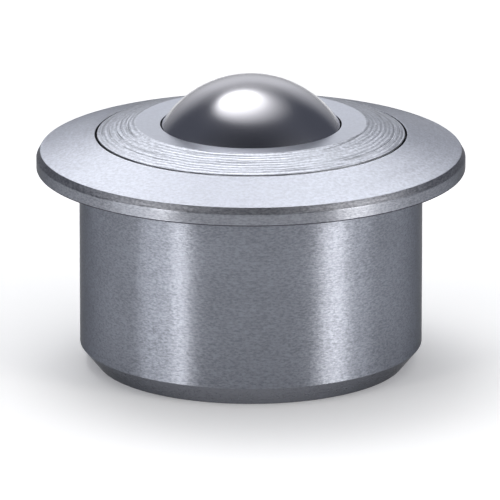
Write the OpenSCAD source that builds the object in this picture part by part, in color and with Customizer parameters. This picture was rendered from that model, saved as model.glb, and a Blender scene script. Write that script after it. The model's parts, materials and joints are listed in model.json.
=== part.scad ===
// Flanged ball transfer unit, for rolling loads in any direction.
// A turned housing drops into a round hole and hangs on its flange. A hardened race cup sits
// in its pocket, the load ball rides in the cup on loose support balls, and a cap ring
// pressed into the housing's mouth keeps them in, with a felt wiper under its lip.
// Millimetres. +Z is up along the axis, and the origin is the centre of the base.

/* [Balls] */
// Diameter of the load ball
load_ball_d = 22.225; // [20:0.005:25]
// Diameter of each support ball
support_ball_d = 3.969; // [3.6:0.001:4.4]
// Number of support balls
support_ball_count = 54; // [20:1:55]
// Angle of the top row of support balls, from straight down
top_row_angle = 88; // [80:1:90]

/* [Housing] */
// Wall of the spigot round the housing's bore; 1.63 makes the spigot 36 across
housing_wall = 1.63; // [1:0.01:4]
// Height of the spigot, from the base to the underside of the flange
spigot_h = 21; // [19:0.1:30]
// Height of the load ball's top above the underside of the flange
ball_rise = 9.8; // [9:0.1:12]
// Diameter of the flange
flange_d = 45; // [42:0.1:60]
// Height of the flange's rim, from its underside to the cone on top
rim_h = 1.95; // [1.3:0.05:2.6]
// Radial width of the chamfer on top of the rim
rim_chamfer_w = 0.4; // [0.1:0.05:0.8]
// Height of the chamfer on top of the rim
rim_chamfer_h = 0.7; // [0.1:0.05:0.9]
// Edge break under the rim
rim_break = 0.15; // [0.05:0.05:0.3]
// Radial width of the lead-in chamfer at the base
base_chamfer_w = 1.8; // [0.5:0.1:3]
// Height of the lead-in chamfer at the base
base_chamfer_h = 2.2; // [0.5:0.1:4]

/* [Race cup] */
// Wall of the race cup
cup_wall = 1.15; // [0.6:0.05:1.4]
// Depth of the flat that the cup stands on, taken off its round bottom
cup_flat = 0.3; // [0.1:0.05:0.5]

/* [Cap ring] */
// Height of the load ball's top above the flat land round the opening
ball_proud = 4.9; // [4:0.1:6]
// Radial width of the flat land round the opening
land_w = 2.5; // [1:0.1:3.5]
// Chamfer on the edge of the opening
opening_chamfer = 0.12; // [0.05:0.01:0.3]
// Height of the lip above the felt
lip_h = 1; // [0.6:0.1:1.4]
// Radial width of the groove between the cap ring and the housing's mouth
seam_w = 0.25; // [0.1:0.05:0.4]
// Depth of that groove
seam_h = 0.7; // [0.2:0.1:1.2]
// Edge breaks on both sides of the groove
seam_break = 0.06; // [0.02:0.01:0.1]
// Lead-in chamfer at the bottom of the cap ring
cap_lead = 0.3; // [0.1:0.05:0.6]

/* [Felt wiper] */
// Thickness of the felt
felt_h = 1.5; // [1:0.1:2]
// Depth that the felt reaches into the cap ring, beyond the load ball's surface at its foot
felt_w = 1.9; // [1:0.1:3]

/* [Clearances] */
// Play on each side of a support ball, to the load ball and to the race
race_play = 0.05; // [0.02:0.01:0.1]
// Room between neighbouring support balls
ball_gap = 0.05; // [0.02:0.01:0.2]
// Room round the cup in the housing's pocket
cup_room = 0.04; // [0.02:0.01:0.1]
// Room between the cap ring and the load ball
cap_gap = 0.12; // [0.08:0.01:0.3]
// Room between the felt and the load ball
felt_gap = 0.06; // [0.03:0.01:0.1]

/* [Hidden] */
$fn = 96;
support_fn = 36;

// Radii, from the load ball outwards
load_ball_r = load_ball_d / 2;
support_ball_r = support_ball_d / 2;
orbit_r = load_ball_r + race_play + support_ball_r;
race_r = orbit_r + support_ball_r + race_play;
cup_r = race_r + cup_wall;
bore_r = cup_r + cup_room;
spigot_r = bore_r + housing_wall;
flange_r = flange_d / 2;

// Heights
ball_top_z = spigot_h + ball_rise;
ball_z = ball_top_z - load_ball_r;
pocket_z = ball_z - cup_r + cup_flat;
land_z = ball_top_z - ball_proud;
rim_top_z = spigot_h + rim_h;

// Rows of support balls: row 0 is the lowest ball alone, and the top row is near the equator
half_pitch = support_ball_r + ball_gap / 2;
row_steps = floor(top_row_angle / (2 * asin(half_pitch / orbit_r)));
rows = [for (i = [0 : row_steps]) i * top_row_angle / row_steps];
rooms = [for (angle = rows) angle == 0 ? 1 : floor(180 / asin(half_pitch / (orbit_r * sin(angle))))];

// Each row gets its share of the balls, by the room below it and up to its top
function room_below(row) = row == 0 ? 0 : room_below(row - 1) + rooms[row - 1];
function balls_below(row) = round(support_ball_count * room_below(row) / room_below(len(rows)));

// Angle from straight down and angle round the axis of every support ball
twist_angle = 137.5;
support_places = [
    for (row = [0 : row_steps])
        let (count = balls_below(row + 1) - balls_below(row))
        for (i = [0 : count - 1]) [rows[row], row * twist_angle + i * 360 / count]
];

// The cup and the cap ring meet just above the top row
cup_top_z = ball_z - orbit_r * cos(top_row_angle) + support_ball_r + race_play;

// Opening of the cap ring, where its concentric hollow comes out under the chamfer
hollow_r = load_ball_r + cap_gap;
opening_r = section_r(hollow_r, land_z - opening_chamfer);
land_r = opening_r + opening_chamfer + land_w;
cap_r = bore_r - seam_w;
cone_slope = (land_z - rim_top_z) / (flange_r - rim_chamfer_w - land_r);

// The felt's groove in the cap ring
felt_top_z = land_z - lip_h;
felt_z = felt_top_z - felt_h;
felt_r = section_r(load_ball_r, felt_z) + felt_w;

// Radius at height z of a sphere round the centre of the load ball
function section_r(r, z) = sqrt(r * r - (z - ball_z) * (z - ball_z));

// Height of the cone that runs over the cap ring and the flange
function cone_z(r) = land_z - (r - land_r) * cone_slope;

// Names of the support balls: support_ball_01 is the lowest one, on the axis
function support_name(i) = str("support_ball_", i < 9 ? "0" : "", i + 1);
support_names = [for (i = [0 : support_ball_count - 1]) support_name(i)];

// Half section of a cup form: a half ball round the load ball's centre, never lower than
// the pocket's floor, with a straight wall above it
module cup_section(r, top_z) {
    intersection() {
        translate([0, ball_z]) circle(r);
        translate([0, pocket_z]) square([2 * r, ball_z - pocket_z]);
    }
    translate([0, ball_z]) square([r, top_z - ball_z]);
}

// Turned housing: spigot, flange, cone and the pocket for the cup
module housing() {
    color("silver") rotate_extrude() difference() {
        polygon([
            [0, 0],
            [spigot_r - base_chamfer_w, 0],
            [spigot_r, base_chamfer_h],
            [spigot_r, spigot_h],
            [flange_r - rim_break, spigot_h],
            [flange_r, spigot_h + rim_break],
            [flange_r, rim_top_z - rim_chamfer_h],
            [flange_r - rim_chamfer_w, rim_top_z],
            [bore_r + seam_break, cone_z(bore_r + seam_break)],
            [bore_r, cone_z(bore_r) - seam_break],
            [0, cone_z(bore_r) - seam_break]
        ]);
        cup_section(bore_r, land_z);
    }
}

// Hardened cup whose hollow is the race
module race_cup() {
    color("slategray") rotate_extrude() difference() {
        cup_section(cup_r, cup_top_z);
        cup_section(race_r, land_z);
    }
}

// Turned ring, pressed into the housing's mouth until it meets the cup
module cap_ring() {
    color("gainsboro") rotate_extrude() difference() {
        polygon([
            [0, cup_top_z],
            [bore_r - cap_lead, cup_top_z],
            [bore_r, cup_top_z + cap_lead],
            [bore_r, cone_z(bore_r) - seam_h],
            [cap_r, cone_z(bore_r) - seam_h],
            [cap_r, cone_z(cap_r) - seam_break],
            [cap_r - seam_break, cone_z(cap_r - seam_break)],
            [land_r, land_z],
            [opening_r + opening_chamfer, land_z],
            [opening_r, land_z - opening_chamfer],
            [0, land_z - opening_chamfer]
        ]);
        translate([0, ball_z]) circle(hollow_r);
        translate([0, felt_z]) square([felt_r, felt_h]);
    }
}

// Felt ring that wipes the load ball clean
module felt_wiper() {
    color("tan") rotate_extrude() difference() {
        translate([0, felt_z]) square([felt_r, felt_h]);
        translate([0, ball_z]) circle(load_ball_r + felt_gap);
    }
}

// Ball that carries the load
module load_ball() {
    color("lightsteelblue") translate([0, 0, ball_z]) sphere(load_ball_r);
}

// One support ball at its angle up from the bottom and its angle round the axis
module support_ball(place) {
    color("lightgray") translate([0, 0, ball_z])
        rotate([0, 0, place[1]]) rotate([0, -place[0], 0]) translate([0, 0, -orbit_r])
            sphere(support_ball_r, $fn = support_fn);
}

housing();
race_cup();
cap_ring();
felt_wiper();
load_ball();
for (i = [0 : support_ball_count - 1])
    support_ball(support_places[i]);
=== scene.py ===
"""Flanged ball transfer unit: turned steel housing and cap ring round a polished load ball."""

import json
import math

import bpy
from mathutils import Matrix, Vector

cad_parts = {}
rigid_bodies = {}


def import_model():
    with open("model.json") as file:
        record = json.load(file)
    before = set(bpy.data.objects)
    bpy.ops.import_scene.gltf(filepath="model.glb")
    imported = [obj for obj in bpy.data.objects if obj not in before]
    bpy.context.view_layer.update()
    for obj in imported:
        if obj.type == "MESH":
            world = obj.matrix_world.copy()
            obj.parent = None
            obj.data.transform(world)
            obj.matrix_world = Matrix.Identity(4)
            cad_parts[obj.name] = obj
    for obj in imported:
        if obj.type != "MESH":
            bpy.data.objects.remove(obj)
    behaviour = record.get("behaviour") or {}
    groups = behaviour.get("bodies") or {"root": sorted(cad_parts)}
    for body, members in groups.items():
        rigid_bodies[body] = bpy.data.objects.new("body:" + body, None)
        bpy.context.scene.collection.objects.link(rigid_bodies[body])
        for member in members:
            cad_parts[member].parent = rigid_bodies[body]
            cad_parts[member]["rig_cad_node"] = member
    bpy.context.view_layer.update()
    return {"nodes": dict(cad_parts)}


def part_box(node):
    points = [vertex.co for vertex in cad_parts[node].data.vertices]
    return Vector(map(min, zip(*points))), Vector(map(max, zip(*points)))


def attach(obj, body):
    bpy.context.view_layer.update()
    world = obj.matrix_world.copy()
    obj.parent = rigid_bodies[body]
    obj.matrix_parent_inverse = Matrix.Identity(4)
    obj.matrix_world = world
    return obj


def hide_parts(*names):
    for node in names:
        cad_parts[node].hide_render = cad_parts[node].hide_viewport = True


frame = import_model()
nodes = frame["nodes"]

MM = 0.001
TINY = 1e-6

# ---------------------------------------------------------------- sizes, in millimetres
# Housing: the chamfers are width and height
FLANGE_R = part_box("housing")[1].x / MM
SPIGOT_R = 18.0015
SPIGOT_H = 21.0
RIM_TOP_Z = 22.95
RIM_CHAMFER = (0.4, 0.7)
BASE_CHAMFER = (1.8, 2.2)
BORE_R = 16.3715
POCKET_Z = 3.656

# Load ball, and the cap ring's gap to it
BALL_Z = 19.6875
BALL_R = 11.1125
CAP_GAP = 0.12

# Cap ring: its hollow, its land, which is dished, and the break on the edge of the opening
CUP_TOP_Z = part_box("cap_ring")[0].z / MM
LAND_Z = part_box("cap_ring")[1].z / MM
LAND_R = 12.057
LAND_DISH = 0.2
HOLLOW_R = BALL_R + CAP_GAP
OPENING_R = 9.437
OPENING_EDGE_W = 0.05
OPENING_EDGE_RISE = 0.004
OPENING_EDGE_DROP = 0.03
CAP_LEAD = 0.3
CONE_SLOPE = (LAND_Z - RIM_TOP_Z) / (FLANGE_R - RIM_CHAMFER[0] - LAND_R)

# Seam, a groove between cap ring and housing, whose walls get painted shade from SEAM_SHADE down
SEAM_W = 0.25
SEAM_H = 0.7
SEAM_SHADE = 0.09

# Groove for the felt: its foot and top, and its outer radius
FELT_Z = (23.4, 24.9)
FELT_R = 12.374

# Fillets: the spigot's and the flange's from the base up, and the cap ring's
BASE_FILLET = 0.08
SPIGOT_FILLET = 0.1
ROOT_FILLET = 0.12
RIM_FOOT_FILLET = 0.15
RIM_FILLET = 0.3
RIM_TOP_FILLET = 0.08
SEAM_FILLET = 0.03
SEAM_FOOT_FILLET = 0.02
CAP_FOOT_FILLET = 0.03
LAND_FILLET = 0.1
OPENING_FILLET = 0.03
FELT_FILLET = 0.05

# Faces round a turned mesh, steps on each fillet, and steps down each hollow
SEGMENTS = 288
FILLET_STEPS = 4
POCKET_STEPS = 28
LIP_STEPS = 3
HOLLOW_STEPS = 6


def cone_z(r):
    """Height of the cone that runs over cap ring and flange."""
    return LAND_Z - (r - LAND_R) * CONE_SLOPE


def hollow_r(z):
    """Radius of the cap ring's hollow at a height."""
    return math.sqrt(HOLLOW_R ** 2 - (z - BALL_Z) ** 2)


# ---------------------------------------------------------------- turned meshes
def right_of(direction):
    """The normal of a line that runs with the steel on its left."""
    return Vector((direction.y, -direction.x))


def line(corners):
    """Points (place, normal) along (r, z, fillet) corners, which run with the steel on their left."""
    places = [Vector(corner[:2]) for corner in corners]
    ways = [(b - a).normalized() for a, b in zip(places, places[1:])]
    out = [(places[0], right_of(ways[0]))]
    for here, corner, u, v in zip(places[1:], corners[1:], ways, ways[1:]):
        fillet = corner[2]
        if not fillet:
            out += [(here, right_of(u)), (here, right_of(v))]
            continue
        turn = math.atan2(u.x * v.y - u.y * v.x, u.dot(v))
        sign = 1 if turn > 0 else -1
        start = here - u * fillet * math.tan(abs(turn) / 2)
        centre = start - right_of(u) * fillet * sign
        first = math.atan2(right_of(u).y, right_of(u).x)
        for k in range(FILLET_STEPS + 1):
            a = first + turn * k / FILLET_STEPS
            normal = Vector((math.cos(a), math.sin(a)))
            out.append((centre + normal * fillet * sign, normal))
    out.append((places[-1], right_of(ways[-1])))
    return out


def bowl(radius, top, foot, steps):
    """Points (place, normal) down a hollow round the load ball's centre, between two heights."""
    first, last = (math.asin((z - BALL_Z) / radius) for z in (top, foot))
    out = []
    for k in range(steps + 1):
        a = first + (last - first) * k / steps
        normal = Vector((math.cos(a), math.sin(a)))
        out.append((Vector((0, BALL_Z)) + normal * radius, -normal))
    return out


def lathe(name, runs, kind):
    """One mesh turned round Z from runs of (place, normal). It carries exact normals and an unrolled
    map. kind(r, z) gives the material slot of the faces at a place."""
    pts = [p for run in runs for p in run]
    closed = pts[0][0].x > TINY or pts[-1][0].x > TINY
    lengths = [0.0]
    for a, b in zip(pts, pts[1:] + pts[:1]):
        lengths.append(lengths[-1] + (b[0] - a[0]).length)
    verts = []
    index = {}

    def vert(row, col):
        """The vertex at a place and a step round the axis, where places that meet share it."""
        place = pts[row][0]
        step = col % SEGMENTS
        key = (round(place.x, 6), round(place.y, 6), step if place.x > TINY else 0)
        if key not in index:
            a = 2 * math.pi * step / SEGMENTS
            index[key] = len(verts)
            verts.append((place.x * math.cos(a) * MM, place.x * math.sin(a) * MM, place.y * MM))
        return index[key]

    faces, kinds, normals, uvs = [], [], [], []
    for i in range(len(pts) if closed else len(pts) - 1):
        k = (i + 1) % len(pts)
        if (pts[i][0] - pts[k][0]).length < TINY:
            continue
        middle = (pts[i][0] + pts[k][0]) / 2
        slot = kind(middle.x, middle.y)
        for j in range(SEGMENTS):
            # On the axis, two corners of the face fall together, and one of them is left out
            loop = {}
            for row, col in ((i, j), (i, j + 1), (k, j + 1), (k, j)):
                loop.setdefault(vert(row, col), (row, col))
            if len(loop) < 3:
                continue
            faces.append(list(loop))
            kinds.append(slot)
            for row, col in loop.values():
                place, n = pts[row]
                turn = (col if place.x > TINY else j + 0.5) / SEGMENTS
                a = 2 * math.pi * turn
                normals.append((n.x * math.cos(a), n.x * math.sin(a), n.y))
                uvs.append((turn, (lengths[i + 1] if row == k else lengths[i]) / lengths[-1]))
    mesh = bpy.data.meshes.new(name)
    mesh.from_pydata(verts, [], faces)
    layer = mesh.uv_layers.new(name="OFBake")
    for k, uv in enumerate(uvs):
        layer.uv[k].vector = uv
    mesh.polygons.foreach_set("use_smooth", [True] * len(mesh.polygons))
    mesh.polygons.foreach_set("material_index", kinds)
    mesh.normals_split_custom_set(normals)
    mesh.validate()
    obj = bpy.data.objects.new(name, mesh)
    bpy.context.scene.collection.objects.link(obj)
    return obj


def housing_runs():
    """Outside from the base's centre to the bore, and the pocket back to the axis."""
    floor_r = math.sqrt(BORE_R ** 2 - (BALL_Z - POCKET_Z) ** 2)
    outside = line([
        (0, 0, 0),
        (SPIGOT_R - BASE_CHAMFER[0], 0, BASE_FILLET),
        (SPIGOT_R, BASE_CHAMFER[1], SPIGOT_FILLET),
        (SPIGOT_R, SPIGOT_H, ROOT_FILLET),
        (FLANGE_R, SPIGOT_H, RIM_FOOT_FILLET),
        (FLANGE_R, RIM_TOP_Z - RIM_CHAMFER[1], RIM_FILLET),
        (FLANGE_R - RIM_CHAMFER[0], RIM_TOP_Z, RIM_TOP_FILLET),
        (BORE_R, cone_z(BORE_R), SEAM_FILLET),
        (BORE_R, cone_z(BORE_R) - SEAM_SHADE, 0),
        (BORE_R, cone_z(BORE_R) - SEAM_H, 0),
        (BORE_R, BALL_Z, 0),
    ])
    pocket = bowl(BORE_R, BALL_Z, POCKET_Z, POCKET_STEPS)
    floor = line([(floor_r, POCKET_Z, 0), (0, POCKET_Z, 0)])
    return [outside, pocket, floor]


def cap_runs():
    """Outside from the foot of the hollow to the opening, and down the hollow with the felt's groove."""
    land_foot_z = LAND_Z - LAND_DISH
    lip_z = land_foot_z - OPENING_EDGE_DROP
    seam_foot_z = cone_z(BORE_R) - SEAM_H
    outside = line([
        (hollow_r(CUP_TOP_Z), CUP_TOP_Z, 0),
        (BORE_R - CAP_LEAD, CUP_TOP_Z, CAP_FOOT_FILLET),
        (BORE_R, CUP_TOP_Z + CAP_LEAD, CAP_FOOT_FILLET),
        (BORE_R, seam_foot_z, 0),
        (BORE_R - SEAM_W, seam_foot_z, SEAM_FOOT_FILLET),
        (BORE_R - SEAM_W, cone_z(BORE_R) - SEAM_SHADE, 0),
        (BORE_R - SEAM_W, cone_z(BORE_R - SEAM_W), SEAM_FILLET),
        (LAND_R, LAND_Z, LAND_FILLET),
        (OPENING_R + OPENING_EDGE_W, land_foot_z + OPENING_EDGE_RISE, OPENING_FILLET),
        (hollow_r(lip_z), lip_z, 0),
    ])
    lip = bowl(HOLLOW_R, lip_z, FELT_Z[1], LIP_STEPS)
    groove = line([
        (hollow_r(FELT_Z[1]), FELT_Z[1], 0),
        (FELT_R, FELT_Z[1], FELT_FILLET),
        (FELT_R, FELT_Z[0], FELT_FILLET),
        (hollow_r(FELT_Z[0]), FELT_Z[0], 0),
    ])
    hollow = bowl(HOLLOW_R, FELT_Z[0], CUP_TOP_Z, HOLLOW_STEPS)
    return [outside, lip, groove, hollow]


# ---------------------------------------------------------------- materials
# Deeper tool marks: their width in a noise, depth in millimetres, and how far and how dark painted shade
# fills them
CUT_WIDTH = 0.04
CUT_DEPTH = 0.02
CUT_PAINTED_SHADE = 0.6
CUT_SHADE_COLOUR = 0.3

# Depths of the ball's scratches and the felt's fibres, in millimetres
SCRATCH_DEPTH = 0.0003
FIBRE_DEPTH = 0.15

# Keeps a division by the radius finite on the axis, in millimetres
AXIS_ROOM = 0.001

# Turns of a metal's highlight: across the tool's grooves and along them
ACROSS = 0.25
ALONG = 0.0


class Graph:
    """Short ways to add nodes to a material. A value is a number or another node's output."""

    def __init__(self, name):
        self.mat = bpy.data.materials.new(name)
        self.mat.use_nodes = True
        self.tree = self.mat.node_tree
        self.tree.nodes.clear()
        self.out = self.node("ShaderNodeOutputMaterial")
        self.coords = None

    def node(self, kind, **settings):
        n = self.tree.nodes.new(kind)
        for k, v in settings.items():
            setattr(n, k, v)
        return n

    def put(self, socket, value):
        if hasattr(value, "is_output"):
            self.tree.links.new(value, socket)
        else:
            socket.default_value = value

    def math(self, op, a, b=0.0, clamp=False):
        n = self.node("ShaderNodeMath", operation=op, use_clamp=clamp)
        self.put(n.inputs[0], a)
        self.put(n.inputs[1], b)
        return n.outputs[0]

    def add(self, a, b):
        return self.math("ADD", a, b)

    def less(self, a, b):
        return self.math("SUBTRACT", a, b)

    def times(self, a, b):
        return self.math("MULTIPLY", a, b)

    def vector(self, x, y, z):
        n = self.node("ShaderNodeCombineXYZ")
        for s, v in zip(n.inputs, (x, y, z)):
            self.put(s, v)
        return n.outputs[0]

    def noise(self, vector, scale, detail=2.0, rough=0.5):
        n = self.node("ShaderNodeTexNoise")
        self.put(n.inputs["Vector"], vector)
        n.inputs["Scale"].default_value = scale
        n.inputs["Detail"].default_value = detail
        n.inputs["Roughness"].default_value = rough
        return n.outputs["Fac"]

    def span(self, value, low, high, a, b):
        """value from low..high to a..b, clamped."""
        n = self.node("ShaderNodeMapRange")
        n.clamp = True
        for s, v in zip(n.inputs, (value, low, high, a, b)):
            self.put(s, v)
        return n.outputs[0]

    def fade(self, angle, low, high, a, b):
        """span for an angle, with low and high in degrees."""
        return self.span(angle, math.radians(low), math.radians(high), a, b)

    def blend(self, fac, a, b):
        """Colour from a to b, by fac."""
        n = self.node("ShaderNodeMix", data_type="RGBA")
        self.put(n.inputs[0], fac)
        for s, v in ((n.inputs[6], a), (n.inputs[7], b)):
            self.put(s, v if hasattr(v, "is_output") else (*v, 1))
        return n.outputs[2]

    def place(self):
        """x, y, z and radius in millimetres."""
        if self.coords is None:
            split = self.node("ShaderNodeSeparateXYZ")
            self.put(split.inputs[0], self.node("ShaderNodeTexCoord").outputs["Object"])
            x, y, z = [self.times(o, 1 / MM) for o in split.outputs]
            r = self.math("SQRT", self.add(self.times(x, x), self.times(y, y)))
            self.coords = (x, y, z, r)
        return self.coords

    def bump(self, height, distance):
        n = self.node("ShaderNodeBump")
        n.inputs["Strength"].default_value = 1.0
        n.inputs["Distance"].default_value = distance
        self.put(n.inputs["Height"], height)
        return n.outputs[0]

    def metal(self, colour, rough, normal, anisotropic=0.0, edge=0.5):
        """Bare metal. Highlights stretch across a tool's grooves, or along them if anisotropic is
        below 0. edge is how bright the metal gets at a glancing view, from 0 to 1."""
        p = self.node("ShaderNodeBsdfPrincipled")
        p.inputs["Metallic"].default_value = 1.0
        p.inputs["Specular Tint"].default_value = (edge, edge, edge, 1)
        self.put(p.inputs["Base Color"], colour)
        self.put(p.inputs["Roughness"], rough)
        self.put(p.inputs["Normal"], normal)
        if anisotropic:
            p.inputs["Anisotropic"].default_value = abs(anisotropic)
            p.inputs["Anisotropic Rotation"].default_value = ACROSS if anisotropic > 0 else ALONG
            t = self.node("ShaderNodeTangent", direction_type="RADIAL", axis="Z")
            self.put(p.inputs["Tangent"], t.outputs[0])
        self.put(self.out.inputs["Surface"], p.outputs[0])
        return self.mat


def turned(name, colour, rough, anisotropic, feed, grooves=0.010, contrast=0.3, cuts=0.0, edge=0.5,
           ridge=0.0016, detail=5.0, pits=0.03, uneven=0.07):
    """Turned steel: rings of a tool's feed, a few deeper grooves, grain, and soft blotches, with painted
    shade low in the grooves.
    contrast is how much the darkest specks lose, and cuts deepens the deeper grooves and darkens them with
    painted shade, both from 0 to
    1. feed is the ridges' pitch, and grooves, ridge and pits are depths, all in millimetres. detail is
    how fine the grooves get, and uneven is how far the roughness strays."""
    g = Graph(name)
    x, y, z, r = g.place()
    whole = g.vector(x, y, z)
    along = g.add(r, z)
    off_axis = g.add(r, AXIS_ROOM)
    side_x = g.math("DIVIDE", x, off_axis)
    side_y = g.math("DIVIDE", y, off_axis)

    def rings_of(pitch, run, detail=2.0, rough=0.5):
        """Noise in rings: pitch waves a millimetre across them, and run is how fast they change along."""
        place = g.vector(g.times(along, pitch), g.times(side_x, run), g.times(side_y, run))
        return g.noise(place, scale=1.0, detail=detail, rough=rough)

    # The tool's grooves, and its feed, which wanders a little
    rings = rings_of(pitch=2.6, run=0.4, detail=detail, rough=0.72)
    wobble = g.times(g.noise(whole, scale=0.35), 0.25)
    feed_wave = g.math("SINE", g.times(g.add(along, wobble), 2 * math.pi / feed))

    # Matt grain, a little finer up the walls
    grain = g.noise(g.vector(x, y, g.times(z, 2.2)), scale=2.7, rough=0.6)

    # Deeper grooves along the middle value of a noise, which come and go round the piece
    off_middle = g.math("ABSOLUTE", g.less(rings_of(pitch=2.4, run=0.35), 0.5))
    come_and_go = g.span(rings_of(pitch=1.1, run=3.0), 0.42, 0.56, 0.25, 1.0)
    cut = g.times(g.span(off_middle, 0.0, CUT_WIDTH, cuts, 0.0), come_and_go)

    height = g.add(g.times(rings, grooves), g.times(feed_wave, ridge))
    height = g.add(height, g.times(grain, pits * contrast))
    height = g.less(height, g.times(cut, CUT_DEPTH))
    normal = g.bump(height, MM)

    # Colour from blotches and grain, with painted shade low in the rings' grooves and darker painted shade
    # in the deeper grooves
    blotch = g.noise(whole, scale=0.22, detail=3.0, rough=0.55)
    mix = g.add(g.add(g.times(blotch, 0.1), g.times(rings, 0.2)), g.times(grain, 0.7))
    tone = g.span(mix, 0.38, 0.62, 0.0, 1.0)
    shade = g.blend(tone, [c * (1 - contrast) for c in colour], colour)
    shade = g.blend(g.times(cut, CUT_PAINTED_SHADE), shade, [c * CUT_SHADE_COLOUR for c in colour])

    matt = g.add(g.times(grain, 0.5), g.times(rings, 0.5))
    roughness = g.span(matt, 0.35, 0.65, rough - uneven, rough + uneven)
    return g.metal(shade, roughness, normal, anisotropic, edge)


def polished(name, colour, dark, rough):
    """Ground and polished steel with the faintest scratches and smears."""
    g = Graph(name)
    x, y, z, r = g.place()
    smear = g.noise(g.vector(x, y, z), scale=0.12, detail=3.0)
    drawn_out = g.vector(g.times(x, 0.4), g.times(y, 6.0), g.times(z, 6.0))
    scratch = g.noise(drawn_out, scale=1.6, detail=4.0, rough=0.7)
    normal = g.bump(g.times(scratch, SCRATCH_DEPTH), MM)
    roughness = g.span(smear, 0.3, 0.7, rough, rough + 0.05)
    return g.metal(g.blend(smear, dark, colour), roughness, normal, edge=1.0)


def felt(name, colour, dark):
    """Pressed wool, light on its fibres and dark between them."""
    g = Graph(name)
    x, y, z, r = g.place()
    fibre = g.noise(g.vector(x, y, z), scale=4.0, detail=6.0, rough=0.75)
    p = g.node("ShaderNodeBsdfPrincipled")
    g.put(p.inputs["Base Color"], g.blend(g.span(fibre, 0.35, 0.65, 0, 1), dark, colour))
    p.inputs["Roughness"].default_value = 0.95
    p.inputs["Sheen Weight"].default_value = 0.3
    g.put(p.inputs["Normal"], g.bump(fibre, FIBRE_DEPTH * MM))
    g.put(g.out.inputs["Surface"], p.outputs[0])
    return g.mat


def dress(obj, *materials):
    """Gives a CAD node's slots the material, or a new piece its materials in the order of its slots."""
    if "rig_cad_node" in obj:
        for slot in obj.material_slots:
            slot.material = materials[0]
    else:
        for material in materials:
            obj.data.materials.append(material)


# One turned steel in several copies. The top face's copy is lighter, which is painted light. The copies on
# the spigot's side, the rim, the rim's chamfer and the base chamfer are darker, which is painted shade.
# Their finishes differ too.
face_steel_painted_light = turned("turned_steel_face_painted_light", (0.74, 0.765, 0.84), rough=0.44, anisotropic=-0.67, feed=0.19,
                    contrast=0.2, edge=0.2)
side_steel_painted_shade = turned("turned_steel_side_painted_shade", (0.36, 0.38, 0.435), rough=0.38, anisotropic=0.95, feed=0.19,
                    contrast=0.45, edge=0.32)
rim_steel_painted_shade = turned("turned_steel_rim_painted_shade", (0.38, 0.395, 0.44), rough=0.40, anisotropic=0.9, feed=0.19,
                   contrast=0.4, edge=0.3)
edge_steel_painted_shade = turned("turned_steel_edge_painted_shade", (0.40, 0.41, 0.45), rough=0.42, anisotropic=0.2, feed=0.19,
                    grooves=0.006, contrast=0.45, edge=0.3, detail=2.0)
base_steel_painted_shade = turned("turned_steel_base_painted_shade", (0.27, 0.28, 0.315), rough=0.30, anisotropic=0.2, feed=0.19,
                    grooves=0.006, contrast=0.16, edge=0.4)
# Painted shade: near black steel on the walls of the seam and of the opening, and on the rim's lower edge.
painted_shade_steel = turned("turned_steel_painted_shade", (0.10, 0.10, 0.12), rough=0.60, anisotropic=0.0, feed=0.19,
                     grooves=0.004, contrast=0.2, edge=0.2)
# The cap ring's cone takes the same lighter copy as the top face, which is painted light. Its land takes a
# darker copy, which is painted shade, on a finer finish of its own.
cap_steel = turned("cap_steel", (0.745, 0.77, 0.84), rough=0.42, anisotropic=-0.67, feed=0.31,
                   grooves=0.03, contrast=0.28, cuts=1.0, edge=0.4, ridge=0.007)
land_steel_painted_shade = turned("cap_land_painted_shade", (0.58, 0.605, 0.675), rough=0.34, anisotropic=0.0, feed=0.16,
                    grooves=0.003, contrast=0.1, edge=1.0, ridge=0.0008, detail=2.0, pits=0.01,
                    uneven=0.015)
cup_steel = turned("cup_steel", (0.34, 0.34, 0.36), rough=0.25, anisotropic=0.3, feed=0.2, grooves=0.004)
ball_steel = polished("ball_steel", (0.535, 0.53, 0.555), (0.475, 0.47, 0.50), rough=0.18)
felt_wool = felt("felt", (0.16, 0.15, 0.14), (0.07, 0.065, 0.06))

# ---------------------------------------------------------------- the object
# The housing's PAINTED_SHADE slot and the cap ring's GROOVE slot take the painted shade steel.
FACE, SIDE, RIM, EDGE, BASE, PAINTED_SHADE = range(6)
CAP, LAND, GROOVE = range(3)

# Faces are told apart by their middles: some room, and where the rim's chamfer starts, its lower edge in
# painted shade ends and the flange begins, all clear of the fillets
NEAR = 0.02
RIM_CHAMFER_Z = RIM_TOP_Z - RIM_CHAMFER[1] + 0.1
RIM_SHADE_Z = SPIGOT_H + RIM_FOOT_FILLET - 0.01
RIM_FOOT_R = SPIGOT_R + 1


def housing_kind(r, z):
    """Cone on top with painted shade on the wall of the seam, the rim's chamfer, its lower edge in painted
    shade and the rest of it, the base chamfer, and everything else."""
    if r > BORE_R - NEAR and z > RIM_TOP_Z - 2 * NEAR:
        in_seam = r < BORE_R + NEAR and z < cone_z(BORE_R) - SEAM_SHADE
        return PAINTED_SHADE if in_seam else FACE
    if r > FLANGE_R - RIM_CHAMFER[0] - NEAR and z > RIM_CHAMFER_Z:
        return EDGE
    if r > SPIGOT_R and z < RIM_SHADE_Z:
        return PAINTED_SHADE
    if r > RIM_FOOT_R:
        return RIM
    if r > SPIGOT_R - BASE_CHAMFER[0] and z < BASE_CHAMFER[1]:
        return BASE
    return SIDE


def cap_kind(r, z):
    """The land, the walls of the seam and of the opening in painted shade, and everything else."""
    if r > BORE_R - SEAM_W - NEAR and z < cone_z(BORE_R) - SEAM_SHADE:
        return GROOVE
    if r < LAND_R and z > LAND_Z - LAND_DISH - NEAR:
        return LAND
    if r < HOLLOW_R and z > FELT_Z[1]:
        return GROOVE
    return CAP


housing = lathe("housing_turned", housing_runs(), housing_kind)
dress(housing, face_steel_painted_light, side_steel_painted_shade, rim_steel_painted_shade, edge_steel_painted_shade, base_steel_painted_shade, painted_shade_steel)
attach(housing, "housing")
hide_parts("housing")

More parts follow.
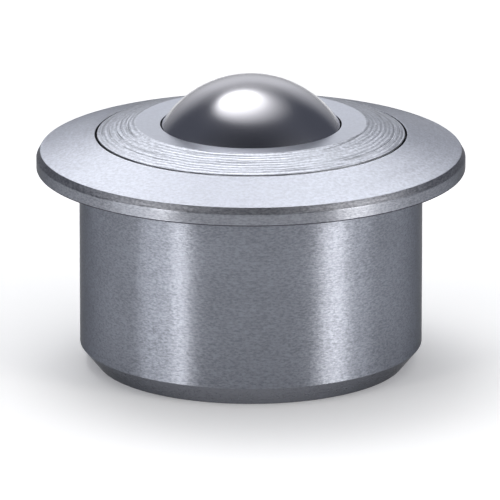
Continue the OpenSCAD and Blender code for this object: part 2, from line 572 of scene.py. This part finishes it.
cap = lathe("cap_ring_turned", cap_runs(), cap_kind)
dress(cap, cap_steel, land_steel_painted_shade, painted_shade_steel)
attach(cap, "housing")
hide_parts("cap_ring")

dress(nodes["race_cup"], cup_steel)
dress(nodes["felt_wiper"], felt_wool)
for name, node in nodes.items():
    if name == "load_ball" or name.startswith("support_ball"):
        dress(node, ball_steel)

# ---------------------------------------------------------------- stage, in metres and degrees
FLOOR_SIZE = 8.0
FLOOR_COLOUR = (0.9, 0.9, 0.9, 1)
FLOOR_WHITE = 0.54
SHADOW_REACH = 0.04
WALL_COLOUR = (0.95, 0.96, 1, 1)
WALL_DISTANCE = 2.0
WALL_MARGIN = 4
WALL_COLUMNS = 24
WALL_ROWS = 12
STAGE_CENTRE = Vector((0, 0, 0.02))


def toward(azimuth, elevation, distance, centre=STAGE_CENTRE):
    """A place round the object. Azimuth 0 is the camera's side and 90 its right."""
    a, e = math.radians(azimuth), math.radians(elevation)
    way = Vector((math.sin(a) * math.cos(e), -math.cos(a) * math.cos(e), math.sin(e)))
    return centre + distance * way


def stage_piece(name, verts, faces, material):
    """A mesh that isn't part of the object."""
    mesh = bpy.data.meshes.new(name)
    mesh.from_pydata(verts, [], faces)
    mesh.materials.append(material)
    obj = bpy.data.objects.new(name, mesh)
    bpy.context.scene.collection.objects.link(obj)
    return obj


def seen_rays(g):
    """1 for the rays that show a background: straight, mirrored or let through."""
    path = g.node("ShaderNodeLightPath").outputs
    seen = g.add(path["Is Camera Ray"], path["Is Glossy Ray"])
    return g.math("ADD", seen, path["Is Transmission Ray"], clamp=True)


def floor_material():
    """White paper that keeps the object's soft shadow."""
    g = Graph("floor")
    paper = g.node("ShaderNodeBsdfDiffuse")
    paper.inputs["Color"].default_value = FLOOR_COLOUR
    shade = g.node("ShaderNodeAmbientOcclusion", samples=8)
    shade.inputs["Distance"].default_value = SHADOW_REACH
    white = g.node("ShaderNodeEmission")
    g.put(white.inputs["Strength"], g.times(g.times(seen_rays(g), shade.outputs["AO"]), FLOOR_WHITE))
    both = g.node("ShaderNodeAddShader")
    g.put(both.inputs[0], paper.outputs[0])
    g.put(both.inputs[1], white.outputs[0])
    g.put(g.out.inputs["Surface"], both.outputs[0])
    return g.mat


def wall_material(name, azimuth, edge, strength, shades, ends):
    """White that fades out at its edges. edge is where it starts and ends to fade on each side of the
    azimuth. shades dim it and ends fade it out by elevation, and each is (from, to, first, last)."""
    g = Graph(name)
    x, y, z, r = g.place()
    up = g.math("ARCTAN2", z, r)
    a = math.radians(azimuth)
    ahead = g.less(g.times(x, math.sin(a)), g.times(y, math.cos(a)))
    across = g.add(g.times(x, math.cos(a)), g.times(y, math.sin(a)))
    aside = g.math("ABSOLUTE", g.math("ARCTAN2", across, ahead))
    for shade in shades:
        strength = g.times(strength, g.fade(up, *shade))
    shown = g.fade(aside, *edge, 1.0, 0.0)
    for end in ends:
        shown = g.times(shown, g.fade(up, *end))
    clear = g.node("ShaderNodeBsdfTransparent")
    white = g.node("ShaderNodeEmission")
    white.inputs["Color"].default_value = WALL_COLOUR
    g.put(white.inputs["Strength"], strength)
    both = g.node("ShaderNodeMixShader")
    g.put(both.inputs[0], g.times(seen_rays(g), shown))
    g.put(both.inputs[1], clear.outputs[0])
    g.put(both.inputs[2], white.outputs[0])
    g.put(g.out.inputs["Surface"], both.outputs[0])
    return g.mat


def wall(name, azimuth, edge, elevations, strength, shades, ends):
    """A white wall, curved round the object, that mirrored rays see and that gives no light."""
    width = 2 * (edge[1] + WALL_MARGIN)
    foot, top = elevations
    verts = []
    for j in range(WALL_ROWS + 1):
        for i in range(WALL_COLUMNS + 1):
            side = azimuth + width * (i / WALL_COLUMNS - 0.5)
            verts.append(toward(side, foot + (top - foot) * j / WALL_ROWS, WALL_DISTANCE))
    w = WALL_COLUMNS + 1
    corners = [j * w + i for j in range(WALL_ROWS) for i in range(WALL_COLUMNS)]
    faces = [(c, c + 1, c + 1 + w, c + w) for c in corners]
    obj = stage_piece(name, verts, faces, wall_material(name, azimuth, edge, strength, shades, ends))
    obj.visible_shadow = False


def softbox(name, azimuth, elevation, distance, width, height, radiance, shape="RECTANGLE",
            tint=(1, 1, 1)):
    """An area lamp that faces the object and that the camera doesn't see."""
    light = bpy.data.lights.new(name, "AREA")
    light.color = tint
    light.shape = shape
    light.size, light.size_y = width, height
    area = width * height * (math.pi / 4 if shape == "ELLIPSE" else 1)
    light.energy = radiance * math.pi * area
    obj = bpy.data.objects.new(name, light)
    obj.location = toward(azimuth, elevation, distance)
    obj.rotation_mode = "QUATERNION"
    obj.rotation_quaternion = (STAGE_CENTRE - obj.location).to_track_quat("-Z", "Y")
    obj.visible_camera = False
    bpy.context.scene.collection.objects.link(obj)


half = FLOOR_SIZE / 2
corners = [(-half, -half, 0), (half, -half, 0), (half, half, 0), (-half, half, 0)]
stage_piece("floor", corners, [(0, 1, 2, 3)], floor_material())
wall("backdrop", azimuth=182, edge=(14, 44), elevations=(0, 50), strength=1.0,
     shades=((0, 18, 0.42, 1.0), (31, 38, 1.0, 0.6)), ends=((43, 48, 1.0, 0.0),))
wall("front_wall", azimuth=0, edge=(30, 75), elevations=(8, 44), strength=0.4,
     shades=(), ends=((10, 18, 0.0, 1.0), (28, 42, 1.0, 0.0)))

# One soft lamp above and behind, brightest at its core: azimuth, elevation, half angle, radiance
KEY_DISTANCE = 0.8
KEY = (
    (200, 64, 13, 1.5),
    (200, 66, 15, 0.7),
    (200, 70, 18.5, 0.7),
    (198, 72, 21, 0.4),
    (194, 74, 24, 0.3),
    (188, 74, 27, 0.25),
    (180, 73, 30, 0.2),
)
for k, (azimuth, elevation, spread, radiance) in enumerate(KEY):
    width = 2 * KEY_DISTANCE * math.tan(math.radians(spread))
    softbox(f"key_{k + 1}", azimuth, elevation, KEY_DISTANCE, width, width, radiance, "ELLIPSE")

# A wide lamp and a bright strip on each side: name, azimuth, width, height, radiance, tint
SIDE_ELEVATION = 12
SIDE_DISTANCE = 0.9
WHITE = (1, 1, 1)
WARM = (1, 0.97, 0.93)
SIDE_LAMPS = (
    ("left_box", -60, 0.56, 0.4, 3.2, WHITE),
    ("left_strip", -47, 0.14, 0.36, 9.0, WARM),
    ("right_box", 70, 0.5, 0.4, 1.8, WHITE),
    ("right_strip", 56, 0.29, 0.36, 9.5, WARM),
)
for name, azimuth, width, height, radiance, tint in SIDE_LAMPS:
    softbox(name, azimuth, SIDE_ELEVATION, SIDE_DISTANCE, width, height, radiance, tint=tint)

# The room is darkest in front of the object: strength by the Y of a direction, from and to
ROOM_COLOUR = (0.73, 0.79, 1, 1)
ROOM_Y = (-0.8, 0.0)
ROOM_STRENGTH = (0.037, 0.142)
world = bpy.data.worlds.new("studio")
bpy.context.scene.world = world
world.use_nodes = True
tree = world.node_tree
back = tree.nodes["Background"]
back.inputs["Color"].default_value = ROOM_COLOUR
facing = tree.nodes.new("ShaderNodeTexCoord")
split = tree.nodes.new("ShaderNodeSeparateXYZ")
level = tree.nodes.new("ShaderNodeMapRange")
for socket, value in zip(level.inputs[1:5], ROOM_Y + ROOM_STRENGTH):
    socket.default_value = value
tree.links.new(facing.outputs["Generated"], split.inputs[0])
tree.links.new(split.outputs["Y"], level.inputs["Value"])
tree.links.new(level.outputs[0], back.inputs["Strength"])

# ---------------------------------------------------------------- camera
SENSOR_WIDTH = 36
LENS = 684.9
CLIP = (0.05, 20)
CAMERA_ELEVATION = 16.4
CAMERA_DISTANCE = 1.0
AIM = Vector((-0.000095, 0, 0.01191))
cam = bpy.data.objects.new("camera", bpy.data.cameras.new("camera"))
cam.data.sensor_width = SENSOR_WIDTH
cam.data.lens = LENS
cam.data.clip_start, cam.data.clip_end = CLIP
cam.location = toward(0, CAMERA_ELEVATION, CAMERA_DISTANCE, AIM)
cam.rotation_mode = "QUATERNION"
cam.rotation_quaternion = (AIM - cam.location).to_track_quat("-Z", "Y")
bpy.context.scene.collection.objects.link(cam)
bpy.context.scene.camera = cam

view = bpy.context.scene.view_settings
view.view_transform = "Standard"
